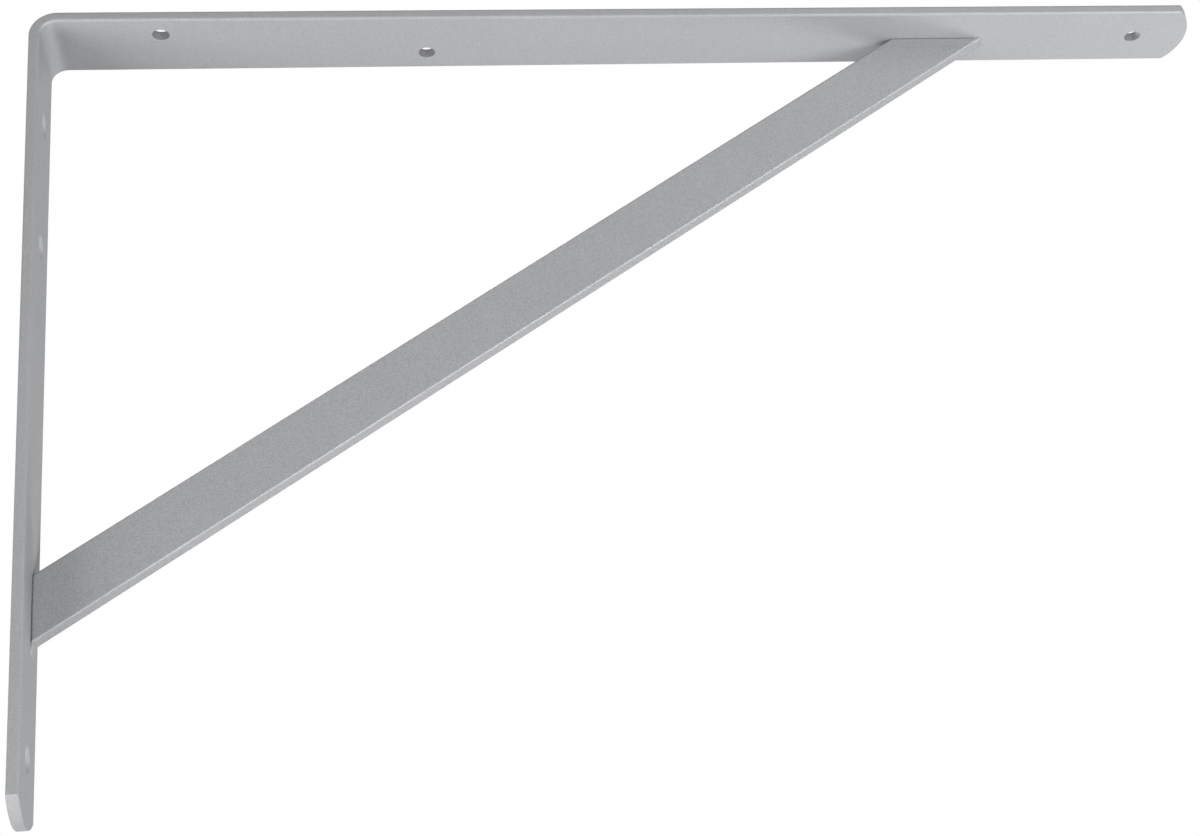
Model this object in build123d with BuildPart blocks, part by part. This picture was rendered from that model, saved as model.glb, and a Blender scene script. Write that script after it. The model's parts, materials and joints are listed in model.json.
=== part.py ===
from build123d import *
from math import atan2, cos, sin, tan
import os

# Welded shelf bracket: a flat bar bent into an angle, with a flat bar as its diagonal brace.
# X leads away from the wall, Y lies across the bar with the front edge at -Y, and Z is up.
# The origin is the centre of the top wall screw hole, on the face that lies against the wall.
# All sizes are in millimetres.

# Angle bar
bar_width = 30.0
bar_thickness = 4.0
bar_edge_radius = 1.0
bend_inner_radius = 6.0
shelf_arm_reach = 440.0
wall_arm_drop = 300.0
tip_bulge = 5.7
tip_edge_radius = 0.4

# Countersunk wall screw holes, measured down from the shelf face
wall_hole_diameter = 5.5
wall_hole_countersink = 1.9
wall_hole_rim_radius = 0.25
first_wall_hole_drop = 39.0
second_wall_hole_drop = 90.0

# Plain shelf screw holes, measured out from the wall face
shelf_hole_diameter = 6.0
shelf_hole_rim_radius = 0.3
first_shelf_hole_reach = 45.0
second_shelf_hole_reach = 141.0
shelf_hole_stagger = 6.0

# The last hole of each arm, measured back from the arm's tip
tip_hole_inset = 22.0

# Diagonal brace; its upper edge meets the wall arm and the shelf arm at the drop and the reach
brace_width = 20.0
brace_thickness = 6.0
brace_edge_radius = 0.7
brace_tip_crop = 3.2
brace_setback = 2.7
brace_wall_drop = 215.0
brace_shelf_reach = 320.0

# Weld beads at the lower corners of the brace
weld_arm_leg = 3.6
weld_brace_leg = 1.6
weld_crown = 0.6
weld_end_radius = 1.2

# Cutters run this far past the bar
cut_margin = 1.0

# Heights and faces that the pieces share
shelf_face_z = first_wall_hole_drop
shelf_underside_z = shelf_face_z - bar_thickness
wall_arm_tip_z = shelf_face_z - wall_arm_drop
wall_arm_inner_x = bar_thickness
bar_middle = bar_thickness / 2
tip_radius = (bar_width**2 / 4 + tip_bulge**2) / (2 * tip_bulge)

wall_hole_heights = [
    shelf_face_z - first_wall_hole_drop,
    shelf_face_z - second_wall_hole_drop,
    wall_arm_tip_z + tip_hole_inset,
]
shelf_hole_places = [
    (first_shelf_hole_reach, -shelf_hole_stagger),
    (second_shelf_hole_reach, shelf_hole_stagger),
    (shelf_arm_reach - tip_hole_inset, 0),
]

# Corners of the brace, where its two edges meet the inner faces of the arms
brace_upper_wall = Vector(wall_arm_inner_x, shelf_face_z - brace_wall_drop)
brace_upper_shelf = Vector(brace_shelf_reach, shelf_underside_z)
brace_run = brace_upper_shelf - brace_upper_wall
brace_slope = atan2(brace_run.Y, brace_run.X)
brace_lower_wall = brace_upper_wall - Vector(0, brace_width / cos(brace_slope))
brace_lower_shelf = brace_upper_shelf + Vector(brace_width / sin(brace_slope), 0)
brace_tip_top = brace_lower_shelf - Vector(brace_tip_crop, 0)
brace_tip_bottom = brace_tip_top - Vector(0, brace_tip_crop * tan(brace_slope))
brace_middle_plane = Plane.XZ.offset(-brace_setback)

os.makedirs("parts", exist_ok=True)

# Angle bar: the bar's section swept up the wall, round the bend and out under the shelf
with BuildPart() as angle_bar:
    with BuildLine(Plane.XZ) as bar_path:
        FilletPolyline(
            (bar_middle, wall_arm_tip_z),
            (bar_middle, shelf_face_z - bar_middle),
            (shelf_arm_reach, shelf_face_z - bar_middle),
            radius=bend_inner_radius + bar_middle,
        )
    with BuildSketch(Plane((bar_middle, 0, wall_arm_tip_z), x_dir=(0, 1, 0), z_dir=(0, 0, 1))):
        RectangleRounded(bar_width, bar_thickness, min(bar_edge_radius, 0.45 * bar_thickness))
    sweep(path=bar_path.line)

    # Both tips are sheared to a shallow arc that leaves a corner at each side
    shelf_tip_plane = Plane(
        (shelf_arm_reach - tip_radius, 0, shelf_face_z), x_dir=(1, 0, 0), z_dir=(0, 0, 1)
    )
    wall_tip_plane = Plane(
        (0, 0, wall_arm_tip_z + tip_radius), x_dir=(0, 0, -1), z_dir=(-1, 0, 0)
    )
    for tip_plane in (shelf_tip_plane, wall_tip_plane):
        with BuildSketch(tip_plane):
            Rectangle(
                tip_radius + cut_margin,
                bar_width + 2 * cut_margin,
                align=(Align.MIN, Align.CENTER),
            )
            Circle(tip_radius, mode=Mode.SUBTRACT)
        extrude(amount=bar_thickness + cut_margin, both=True, mode=Mode.SUBTRACT)
        tip_face = angle_bar.faces(Select.LAST).filter_by(GeomType.CYLINDER).sort_by(SortBy.AREA)[-1]
        fillet(tip_face.edges(), tip_edge_radius)

    # Wall screw holes, countersunk on the arm's inner face
    with Locations(Plane((wall_arm_inner_x, 0, 0), x_dir=(0, 1, 0), z_dir=(1, 0, 0))):
        with Locations(*[(0, height) for height in wall_hole_heights]):
            CounterSinkHole(
                radius=wall_hole_diameter / 2,
                counter_sink_radius=wall_hole_diameter / 2 + wall_hole_countersink,
                depth=bar_thickness,
                counter_sink_angle=90,
            )
    mouths = angle_bar.edges(Select.LAST).filter_by(GeomType.CIRCLE).group_by(SortBy.RADIUS)[-1]
    fillet(mouths, wall_hole_rim_radius)

    # Shelf screw holes, plain, with the rims softened on both faces
    with Locations(Plane.XY.offset(shelf_face_z)):
        with Locations(*shelf_hole_places):
            Hole(shelf_hole_diameter / 2, depth=bar_thickness)
    fillet(angle_bar.edges(Select.LAST).filter_by(GeomType.CIRCLE), shelf_hole_rim_radius)

# Diagonal brace: flat bar on edge, with both ends mitred to lie on the arms
with BuildPart() as diagonal_brace:
    with BuildSketch(brace_middle_plane):
        with BuildLine():
            Polyline(
                brace_upper_wall,
                brace_upper_shelf,
                brace_tip_top,
                brace_tip_bottom,
                brace_lower_wall,
                close=True,
            )
        make_face()
    extrude(amount=brace_thickness / 2, both=True)
    long_edges = diagonal_brace.edges().sort_by(SortBy.LENGTH)[-4:]
    wall_end = diagonal_brace.faces().sort_by(Axis.X)[0]
    shelf_end = diagonal_brace.faces().sort_by(Axis.Z)[-1]
    # The welded edge of each end stays sharp
    end_edges = wall_end.edges().sort_by(Axis.Z)[1:] + shelf_end.edges().sort_by(Axis.X)[:-1]
    fillet(long_edges + end_edges, min(brace_edge_radius, 0.45 * brace_thickness))


def weld_bead(arm_toe, corner, brace_toe):
    """A convex bead across the brace, in the corner between its two toes."""
    chord_middle = (arm_toe + brace_toe) * 0.5
    crown = chord_middle + (chord_middle - corner).normalized() * weld_crown
    with BuildPart() as bead:
        with BuildSketch(brace_middle_plane):
            with BuildLine():
                Polyline(arm_toe, corner, brace_toe)
                ThreePointArc(brace_toe, crown, arm_toe)
            make_face()
        extrude(amount=brace_thickness / 2, both=True)
        fillet(bead.edges().filter_by(GeomType.CIRCLE), weld_end_radius)
    return bead


# Weld beads: one past the brace's tip under the shelf arm, one below the brace on the wall arm
shelf_weld = weld_bead(
    brace_tip_top + Vector(weld_arm_leg, 0),
    brace_tip_top,
    brace_tip_bottom,
)
wall_weld = weld_bead(
    brace_lower_wall - Vector(0, weld_arm_leg),
    brace_lower_wall,
    brace_lower_wall + brace_run.normalized() * weld_brace_leg,
)

for piece, name in (
    (angle_bar, "angle_bar"),
    (diagonal_brace, "diagonal_brace"),
    (shelf_weld, "shelf_weld"),
    (wall_weld, "wall_weld"),
):
    piece.part.label = name
    export_step(piece.part, f"parts/{name}.step")
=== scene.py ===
# Silver shelf bracket: a flat bar bent into an angle, with a welded diagonal brace,
# shown from below and in front in a soft white studio. All lengths are in metres.

import json
import math

import bmesh
import bpy
from mathutils import Matrix, Vector

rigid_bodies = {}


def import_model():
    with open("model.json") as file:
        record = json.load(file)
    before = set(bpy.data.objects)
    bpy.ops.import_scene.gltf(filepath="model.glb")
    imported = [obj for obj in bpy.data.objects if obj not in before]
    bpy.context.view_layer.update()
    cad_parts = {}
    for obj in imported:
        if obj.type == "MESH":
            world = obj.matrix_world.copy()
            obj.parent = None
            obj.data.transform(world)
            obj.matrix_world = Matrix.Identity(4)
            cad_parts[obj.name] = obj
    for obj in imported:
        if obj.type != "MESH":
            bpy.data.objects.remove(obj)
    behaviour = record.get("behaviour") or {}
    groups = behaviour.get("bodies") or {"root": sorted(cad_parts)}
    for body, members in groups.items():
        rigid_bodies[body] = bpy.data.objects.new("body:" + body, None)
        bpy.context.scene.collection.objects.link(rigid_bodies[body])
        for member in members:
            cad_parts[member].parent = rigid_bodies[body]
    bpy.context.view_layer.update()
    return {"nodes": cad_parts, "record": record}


MILLIMETRE = 0.001
WHITE = (1.0, 1.0, 1.0, 1.0)

# Coat: silver grey powder with fine metal flakes, in linear colour values
COAT_COLOUR = (0.400, 0.405, 0.416, 1.0)
WELD_COLOUR = (0.380, 0.386, 0.398, 1.0)
COAT_METALLIC = 0.28
COAT_SPECULAR = 0.0
COAT_EDGE_TINT = (0.6, 0.6, 0.6, 1.0)

# Finish of each piece, by the names of the sockets that take it
BAR_FINISH = {
    "Colour": COAT_COLOUR,
    "Flake Contrast": 0.20,
    "Cloud Contrast": 0.06,
    "Roughness": 0.46,
    "Peel Share": 1.0,
    "Grain Share": 0.5,
}
BRACE_FINISH = {
    "Colour": COAT_COLOUR,
    "Flake Contrast": 0.30,
    "Cloud Contrast": 0.06,
    "Roughness": 0.46,
    "Peel Share": 1.0,
    "Grain Share": 0.5,
}
WELD_FINISH = {
    "Colour": WELD_COLOUR,
    "Flake Contrast": 0.20,
    "Cloud Contrast": 0.06,
    "Roughness": 0.52,
    "Peel Share": 1.6,
    "Grain Share": 0.7,
}

# Flakes and clouds in the coat's colour
FLAKE_SIZE = 0.00030
FLAKE_ROUGHNESS_SPREAD = 0.12
CLOUD_SIZE = 0.022
CLOUD_DETAIL = 3.0
MEAN_TONE = 0.5

# Orange peel and grain in the coat's surface
PEEL_SIZE = 0.0013
GRAIN_SIZE = 0.00034
SURFACE_DETAIL = 1.0
SURFACE_STRENGTH = 0.25
SURFACE_HEIGHT = 0.00006

# Painted shade inside the screw holes: the coat's colour is darkened there to stand in for the
# shade in the holes.
# The darkening fades out between these distances from the wall of the hole.
PAINTED_HOLE_SHADE_TONE = 0.72
PAINTED_HOLE_SHADE_FADE = (0.00003, 0.00015)

# Camera, in the frame of the bracket
CAMERA_PLACE = Vector((0.11371, -0.68723, -0.48933))
CAMERA_AIM = Vector((0.25246, 0.0, -0.15771))
CAMERA_ROLL = math.radians(-7.56)
CAMERA_LENS = 67.03
CAMERA_SENSOR = 36.0
CAMERA_SHIFT = (-0.15, 0.06)
CAMERA_NEAR = 0.01

# Floor: pale paper, of which a share is seen as plain white, all of it far away
FLOOR_LEVEL = -1.50
FLOOR_RADIUS = 8.0
FLOOR_SEGMENTS = 96
FLOOR_COLOUR = (0.80, 0.80, 0.80, 1.0)
FLOOR_WHITE = 0.5
FLOOR_FADE = (1.5, 5.0)
ACROSS_FLOOR = (1.0, 1.0, 0.0)

# Soft boxes: name, place, width, power in watts
STUDIO_CENTRE = Vector((0.20, 0.0, -0.10))
WIDE_BOX = 0.90
NARROW_BOX = 0.60
SOFT_BOXES = (
    ("left_side", Vector((-1.18, -0.64, -0.58)), WIDE_BOX, 1.9),
    ("left_low", Vector((-0.87, -0.53, -1.17)), WIDE_BOX, 19.9),
    ("right", Vector((1.41, -0.89, -0.66)), NARROW_BOX, 7.0),
    ("right_low", Vector((1.24, -0.88, -0.93)), NARROW_BOX, 6.6),
    ("front_right", Vector((0.92, -1.15, -0.95)), NARROW_BOX, 5.6),
    ("right_level", Vector((1.65, -0.68, -0.02)), WIDE_BOX, 1.7),
    ("right_rear", Vector((1.65, 0.67, 0.03)), WIDE_BOX, 3.8),
    ("front_high", Vector((0.81, -1.15, 0.83)), WIDE_BOX, 2.2),
    ("back_low", Vector((1.08, 0.88, -1.10)), WIDE_BOX, 5.6),
    ("overhead", Vector((-0.36, 0.72, 1.21)), WIDE_BOX, 22.0),
)


def clear_scene():
    """Removes the objects that a new file starts with."""
    for item in list(bpy.data.objects):
        bpy.data.objects.remove(item)


def add_node(tree, kind, **settings):
    """Adds a node and sets its properties."""
    node = tree.nodes.new(kind)
    for name, value in settings.items():
        setattr(node, name, value)
    return node


def maths(tree, operation, first, second):
    """One step of arithmetic; each side is a socket or a number."""
    node = add_node(tree, "ShaderNodeMath", operation=operation)
    for socket, value in zip(node.inputs, (first, second)):
        if isinstance(value, bpy.types.NodeSocket):
            tree.links.new(value, socket)
        else:
            socket.default_value = value
    return node.outputs["Value"]


def noise(tree, place, size, detail):
    """Noise with features of about this size."""
    node = add_node(tree, "ShaderNodeTexNoise", noise_dimensions="3D")
    node.inputs["Scale"].default_value = 1.0 / size
    node.inputs["Detail"].default_value = detail
    tree.links.new(place, node.inputs["Vector"])
    return node.outputs["Fac"]


def reach(tree, place, across):
    """Distance from the origin, counted only in the directions given."""
    flat = add_node(tree, "ShaderNodeVectorMath", operation="MULTIPLY")
    flat.inputs[1].default_value = across
    tree.links.new(place, flat.inputs[0])
    length = add_node(tree, "ShaderNodeVectorMath", operation="LENGTH")
    tree.links.new(flat.outputs["Vector"], length.inputs[0])
    return length.outputs["Value"]


def fade(tree, distance, near, far, low):
    """Rises smoothly from the low value at the near distance to one at the far distance."""
    node = add_node(tree, "ShaderNodeMapRange", interpolation_type="SMOOTHSTEP")
    node.inputs["From Min"].default_value = near
    node.inputs["From Max"].default_value = far
    node.inputs["To Min"].default_value = low
    tree.links.new(distance, node.inputs["Value"])
    return node.outputs["Result"]


def toned(tree, colour, tone):
    """A colour made lighter or darker by a tone."""
    node = add_node(tree, "ShaderNodeVectorMath", operation="SCALE")
    tree.links.new(colour, node.inputs[0])
    tree.links.new(tone, node.inputs["Scale"])
    return node.outputs["Vector"]


def new_group(name, inputs, outputs):
    """A shader node group with named sockets; returns its tree, input node and output node."""
    tree = bpy.data.node_groups.new(name, "ShaderNodeTree")
    for label, kind in inputs:
        tree.interface.new_socket(label, in_out="INPUT", socket_type=kind)
    for label, kind in outputs:
        tree.interface.new_socket(label, in_out="OUTPUT", socket_type=kind)
    return tree, add_node(tree, "NodeGroupInput"), add_node(tree, "NodeGroupOutput")


def make_flake_group():
    """Colour and roughness of the metal flakes, with the faint clouds of the sprayed powder."""
    tree, given, result = new_group(
        "metal_flakes",
        (
            ("Place", "NodeSocketVector"),
            ("Colour", "NodeSocketColor"),
            ("Flake Contrast", "NodeSocketFloat"),
            ("Cloud Contrast", "NodeSocketFloat"),
            ("Roughness", "NodeSocketFloat"),
        ),
        (("Colour", "NodeSocketColor"), ("Roughness", "NodeSocketFloat")),
    )
    place = given.outputs["Place"]
    flakes = add_node(tree, "ShaderNodeTexVoronoi", feature="F1", distance="EUCLIDEAN")
    flakes.inputs["Scale"].default_value = 1.0 / FLAKE_SIZE
    tree.links.new(place, flakes.inputs["Vector"])
    flake_tone = add_node(tree, "ShaderNodeSeparateColor")
    tree.links.new(flakes.outputs["Color"], flake_tone.inputs["Color"])
    flake_offset = maths(tree, "SUBTRACT", flake_tone.outputs["Red"], MEAN_TONE)
    flake_part = maths(tree, "MULTIPLY", flake_offset, given.outputs["Flake Contrast"])
    cloud_offset = maths(tree, "SUBTRACT", noise(tree, place, CLOUD_SIZE, CLOUD_DETAIL), MEAN_TONE)
    cloud_part = maths(tree, "MULTIPLY", cloud_offset, given.outputs["Cloud Contrast"])
    both_parts = maths(tree, "ADD", flake_part, cloud_part)
    tone = maths(tree, "ADD", both_parts, 1.0)
    tree.links.new(toned(tree, given.outputs["Colour"], tone), result.inputs["Colour"])
    rough_part = maths(tree, "MULTIPLY", flake_offset, FLAKE_ROUGHNESS_SPREAD)
    rough = maths(tree, "ADD", given.outputs["Roughness"], rough_part)
    tree.links.new(rough, result.inputs["Roughness"])
    return tree


def make_peel_group():
    """Height of the orange peel and of the fine grain on the coat's surface."""
    tree, given, result = new_group(
        "orange_peel",
        (
            ("Place", "NodeSocketVector"),
            ("Peel Share", "NodeSocketFloat"),
            ("Grain Share", "NodeSocketFloat"),
        ),
        (("Height", "NodeSocketFloat"),),
    )
    place = given.outputs["Place"]
    peel_noise = noise(tree, place, PEEL_SIZE, SURFACE_DETAIL)
    peel = maths(tree, "MULTIPLY", peel_noise, given.outputs["Peel Share"])
    grain_noise = noise(tree, place, GRAIN_SIZE, SURFACE_DETAIL)
    grain = maths(tree, "MULTIPLY", grain_noise, given.outputs["Grain Share"])
    tree.links.new(maths(tree, "ADD", peel, grain), result.inputs["Height"])
    return tree


def screw_holes(record):
    """Middle, directions across and radius of each screw hole that the bracket's record names."""
    holes = []
    for mount in record["mounts"]:
        if mount["kind"] == "bore":
            across = [1.0 - abs(part) for part in mount["axis"]]
            holes.append((mount["pos_m"], across, mount["dims"]["r_mm"] * MILLIMETRE))
    return holes


def hole_shade_tone(tree, place, middle, across, radius):
    """Painted shade around one screw hole: a tone that darkens the colour inside it, one outside.
    """
    offset = add_node(tree, "ShaderNodeVectorMath", operation="SUBTRACT")
    offset.inputs[1].default_value = middle
    tree.links.new(place, offset.inputs[0])
    distance = reach(tree, offset.outputs["Vector"], across)
    near = radius + PAINTED_HOLE_SHADE_FADE[0]
    far = radius + PAINTED_HOLE_SHADE_FADE[1]
    return fade(tree, distance, near, far, PAINTED_HOLE_SHADE_TONE)


def make_painted_hole_shade_group(holes):
    """The coat's colour with painted shade: darker inside the screw holes."""
    tree, given, result = new_group(
        "painted_hole_shade",
        (("Place", "NodeSocketVector"), ("Colour", "NodeSocketColor")),
        (("Colour", "NodeSocketColor"),),
    )
    tones = [hole_shade_tone(tree, given.outputs["Place"], *hole) for hole in holes]
    darkest = tones[0]
    for tone in tones[1:]:
        darkest = maths(tree, "MINIMUM", darkest, tone)
    tree.links.new(toned(tree, given.outputs["Colour"], darkest), result.inputs["Colour"])
    return tree


def new_material(name):
    """An empty material; returns it, its tree and its output node."""
    material = bpy.data.materials.new(name)
    material.use_nodes = True
    tree = material.node_tree
    tree.nodes.clear()
    return material, tree, add_node(tree, "ShaderNodeOutputMaterial")


def add_effect(tree, group, place, finish):
    """Places an effect in a material and gives it the values that the finish names."""
    effect = add_node(tree, "ShaderNodeGroup", node_tree=group)
    tree.links.new(place, effect.inputs["Place"])
    for socket in effect.inputs:
        if socket.name in finish:
            socket.default_value = finish[socket.name]
    return effect


def make_coat(name, finish, flake_group, peel_group, hole_shade_group=None):
    """A coated steel finish: flakes in the colour, orange peel in the surface, and painted shade
    inside the screw holes when a shade group is given.
    """
    material, tree, output = new_material(name)
    surface = add_node(tree, "ShaderNodeBsdfPrincipled")
    surface.inputs["Metallic"].default_value = COAT_METALLIC
    surface.inputs["Specular IOR Level"].default_value = COAT_SPECULAR
    surface.inputs["Specular Tint"].default_value = COAT_EDGE_TINT
    tree.links.new(surface.outputs["BSDF"], output.inputs["Surface"])

    place = add_node(tree, "ShaderNodeTexCoord").outputs["Object"]
    flakes = add_effect(tree, flake_group, place, finish)
    tree.links.new(flakes.outputs["Roughness"], surface.inputs["Roughness"])
    colour = flakes.outputs["Colour"]
    # Painted shade: the colour is darkened inside the screw holes.
    if hole_shade_group:
        hole_shade = add_effect(tree, hole_shade_group, place, finish)
        tree.links.new(colour, hole_shade.inputs["Colour"])
        colour = hole_shade.outputs["Colour"]
    tree.links.new(colour, surface.inputs["Base Color"])

    peel = add_effect(tree, peel_group, place, finish)
    bump = add_node(tree, "ShaderNodeBump")
    bump.inputs["Strength"].default_value = SURFACE_STRENGTH
    bump.inputs["Distance"].default_value = SURFACE_HEIGHT
    tree.links.new(peel.outputs["Height"], bump.inputs["Height"])
    tree.links.new(bump.outputs["Normal"], surface.inputs["Normal"])
    return material


def coat_node(node, material):
    """Gives a node of the bracket this finish."""
    for slot in node.material_slots:
        slot.material = material


def seen_rays(tree):
    """One for rays that show the background: to the camera, by reflection or through glass."""
    path = add_node(tree, "ShaderNodeLightPath")
    seen = maths(tree, "MAXIMUM", path.outputs["Is Camera Ray"], path.outputs["Is Glossy Ray"])
    return maths(tree, "MAXIMUM", seen, path.outputs["Is Transmission Ray"])


def make_floor_paper():
    """Pale paper that takes light and shadow; far away it is seen as plain white."""
    material, tree, output = new_material("floor_paper")
    paper = add_node(tree, "ShaderNodeBsdfDiffuse")
    paper.inputs["Color"].default_value = FLOOR_COLOUR
    white = add_node(tree, "ShaderNodeEmission")
    white.inputs["Color"].default_value = WHITE
    white.inputs["Strength"].default_value = 1.0
    place = add_node(tree, "ShaderNodeTexCoord").outputs["Object"]
    distance = reach(tree, place, ACROSS_FLOOR)
    whiter = fade(tree, distance, FLOOR_FADE[0], FLOOR_FADE[1], FLOOR_WHITE)
    white_share = maths(tree, "MULTIPLY", whiter, seen_rays(tree))
    mix = add_node(tree, "ShaderNodeMixShader")
    tree.links.new(white_share, mix.inputs["Fac"])
    tree.links.new(paper.outputs["BSDF"], mix.inputs[1])
    tree.links.new(white.outputs["Emission"], mix.inputs[2])
    tree.links.new(mix.outputs["Shader"], output.inputs["Surface"])
    return material


def make_floor():
    """A round floor below the bracket."""
    shape = bmesh.new()
    bmesh.ops.create_circle(shape, cap_ends=True, radius=FLOOR_RADIUS, segments=FLOOR_SEGMENTS)
    bmesh.ops.translate(shape, verts=shape.verts, vec=(STUDIO_CENTRE.x, 0.0, FLOOR_LEVEL))
    mesh = bpy.data.meshes.new("studio_floor")
    shape.to_mesh(mesh)
    shape.free()
    floor = bpy.data.objects.new("studio_floor", mesh)
    bpy.context.scene.collection.objects.link(floor)
    mesh.materials.append(make_floor_paper())


def make_world():
    """White where it is seen; only the soft boxes light the bracket's matt surface."""
    world = bpy.data.worlds.new("white_studio")
    world.use_nodes = True
    tree = world.node_tree
    tree.nodes.clear()
    output = add_node(tree, "ShaderNodeOutputWorld")
    backdrop = add_node(tree, "ShaderNodeBackground")
    backdrop.inputs["Color"].default_value = WHITE
    tree.links.new(seen_rays(tree), backdrop.inputs["Strength"])
    tree.links.new(backdrop.outputs["Background"], output.inputs["Surface"])
    bpy.context.scene.world = world


def point_at(item, target, roll=0.0):
    """Turns a lamp or the camera so that it looks at the target."""
    look = (target - item.location).to_track_quat("-Z", "Y").to_matrix()
    turned = look @ Matrix.Rotation(roll, 3, "Z")
    item.rotation_euler = turned.to_euler()


def make_soft_boxes():
    """Large soft lamps around the bracket."""
    for name, place, width, power in SOFT_BOXES:
        lamp = bpy.data.lights.new(name, "AREA")
        lamp.shape = "SQUARE"
        lamp.size = width
        lamp.energy = power
        soft_box = bpy.data.objects.new(name, lamp)
        soft_box.location = place
        soft_box.visible_camera = False
        point_at(soft_box, STUDIO_CENTRE)
        bpy.context.scene.collection.objects.link(soft_box)


def make_camera():
    """The photograph's view, from below and in front."""
    lens = bpy.data.cameras.new("view")
    lens.sensor_width = CAMERA_SENSOR
    lens.lens = CAMERA_LENS
    lens.shift_x = CAMERA_SHIFT[0]
    lens.shift_y = CAMERA_SHIFT[1]
    lens.clip_start = CAMERA_NEAR
    camera = bpy.data.objects.new("view", lens)
    camera.location = CAMERA_PLACE
    point_at(camera, CAMERA_AIM, CAMERA_ROLL)
    bpy.context.scene.collection.objects.link(camera)
    bpy.context.scene.camera = camera


clear_scene()
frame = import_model()
nodes = frame["nodes"]

flake_group = make_flake_group()
peel_group = make_peel_group()
# Painted shade darkens the coat inside the screw holes that model.json names.
hole_shade_group = make_painted_hole_shade_group(screw_holes(frame["record"]))
bar_coat = make_coat("bar_coat", BAR_FINISH, flake_group, peel_group, hole_shade_group)
brace_coat = make_coat("brace_coat", BRACE_FINISH, flake_group, peel_group)
weld_coat = make_coat("weld_coat", WELD_FINISH, flake_group, peel_group)
coat_node(nodes["angle_bar"], bar_coat)
coat_node(nodes["diagonal_brace"], brace_coat)
coat_node(nodes["shelf_weld"], weld_coat)
coat_node(nodes["wall_weld"], weld_coat)

make_floor()
make_world()
make_soft_boxes()
make_camera()
bpy.context.scene.view_settings.view_transform = "Standard"
